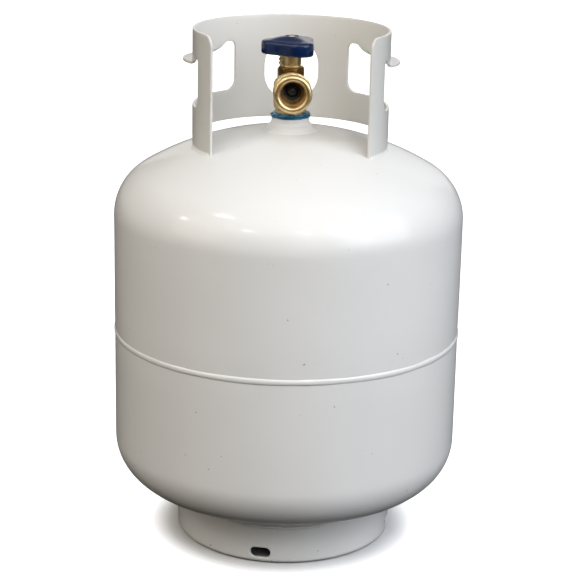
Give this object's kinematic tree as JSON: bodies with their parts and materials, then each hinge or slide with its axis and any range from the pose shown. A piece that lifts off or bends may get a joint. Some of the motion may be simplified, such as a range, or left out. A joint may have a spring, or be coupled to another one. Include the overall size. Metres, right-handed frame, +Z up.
{
  "type": "propane tank",
  "caption": "White steel propane cylinder: domed two-piece shell, foot ring, collar with hand holds, brass valve with threaded outlet and lobed handwheel.",
  "frame": {"origin": "on the tank's axis, on the surface that the foot ring stands on", "axes": "+Z up the tank's axis; the valve outlet and the collar's open front face -Y; the relief valve faces +Y"},
  "size_m": [0.3132, 0.3132, 0.4608],
  "materials": {
    "white_enamel": "semi-gloss white baked enamel on steel",
    "brass": "machined and forged brass, slightly dull",
    "dark_brass": "older, darker brass",
    "sealant": "glossy teal-blue thread sealant squeezed out of the joint",
    "gasket_red": "compressed fibre",
    "black_rubber": "moulded nitrile rubber",
    "nylon": "natural nylon",
    "knob_plastic": "navy blue moulded plastic with a satin grain",
    "zinc_steel": "zinc-plated steel",
    "spring_steel": "drawn stainless wire",
    "check_plastic": "slate blue-grey acetal",
    "cap_plastic": "yellow moulded plastic",
    "housing_plastic": "blue acetal",
    "plunger_plastic": "natural acetal",
    "arm_plastic": "glass-filled nylon",
    "float_foam": "closed-cell nitrile foam"
  },
  "bodies": {
    "tank": {"lower_shell": "white_enamel", "upper_shell": "white_enamel", "girth_weld": "white_enamel", "foot_ring": "white_enamel", "foot_welds": "white_enamel", "collar": "white_enamel", "collar_welds": "white_enamel", "valve_boss": "white_enamel", "boss_weld": "white_enamel", "valve_body": "brass", "thread_sealant": "sealant", "bonnet": "dark_brass", "bonnet_gasket": "gasket_red", "outlet_seal": "black_rubber", "check_spring": "spring_steel", "check_guide": "brass", "relief_spring": "spring_steel", "relief_retainer": "brass", "relief_cap": "cap_plastic", "dip_tube": "brass", "stop_fill_housing": "housing_plastic", "float_pin": "zinc_steel"},
    "spindle": {"stem": "brass", "stem_o_rings": "black_rubber", "thrust_washer": "nylon", "handwheel": "knob_plastic", "handwheel_washer": "zinc_steel", "handwheel_screw": "zinc_steel"},
    "seat": {"seat_carrier": "brass", "seat_disc": "black_rubber"},
    "check": {"check_poppet": "check_plastic"},
    "relief": {"relief_poppet": "brass", "relief_disc": "black_rubber"},
    "bleeder": {"bleeder_screw": "brass", "bleeder_o_ring": "black_rubber"},
    "float_lever": {"float_arm": "arm_plastic", "float": "float_foam"},
    "plunger": {"stop_fill_plunger": "plunger_plastic"}
  },
  "joints": [
    {"name": "handwheel_turn", "type": "hinge", "parent": "tank", "child": "spindle", "pos_m": [0, 0, 0.445], "axis": [0, 0, 1], "range_deg": [0, 540]},
    {"name": "seat_lift", "type": "slide", "parent": "tank", "child": "seat", "axis": [0, 0, 1], "range_m": [0, 0.003]},
    {"name": "check_slide", "type": "slide", "parent": "tank", "child": "check", "axis": [-0.0401, 0.9992, 0], "range_m": [0, 0.0026], "stiffness_N_per_m": 300, "springref_m": -0.004, "deforming": ["check_spring"]},
    {"name": "relief_slide", "type": "slide", "parent": "tank", "child": "relief", "axis": [-0.0401, 0.9992, 0], "range_m": [0, 0.0016], "stiffness_N_per_m": 5000, "springref_m": -0.008, "deforming": ["relief_spring"]},
    {"name": "bleeder_turn", "type": "hinge", "parent": "tank", "child": "bleeder", "pos_m": [-0.00798, 0.00929, 0.43], "axis": [0, 0, 1], "range_deg": [0, 360]},
    {"name": "float_swing", "type": "hinge", "parent": "tank", "child": "float_lever", "pos_m": [0.0052, 0.00021, 0.3], "axis": [-0.0401, 0.9992, 0], "range_deg": [0, 45]},
    {"name": "plunger_lift", "type": "slide", "parent": "tank", "child": "plunger", "axis": [0, 0, 1], "range_m": [0, 0.004]}
  ],
  "couplings": [
    {"joint": "seat_lift", "follows": "handwheel_turn", "m_per_rad": 0.00031831},
    {"joint": "plunger_lift", "follows": "float_swing", "m_per_rad": 0.0050626}
  ]
}
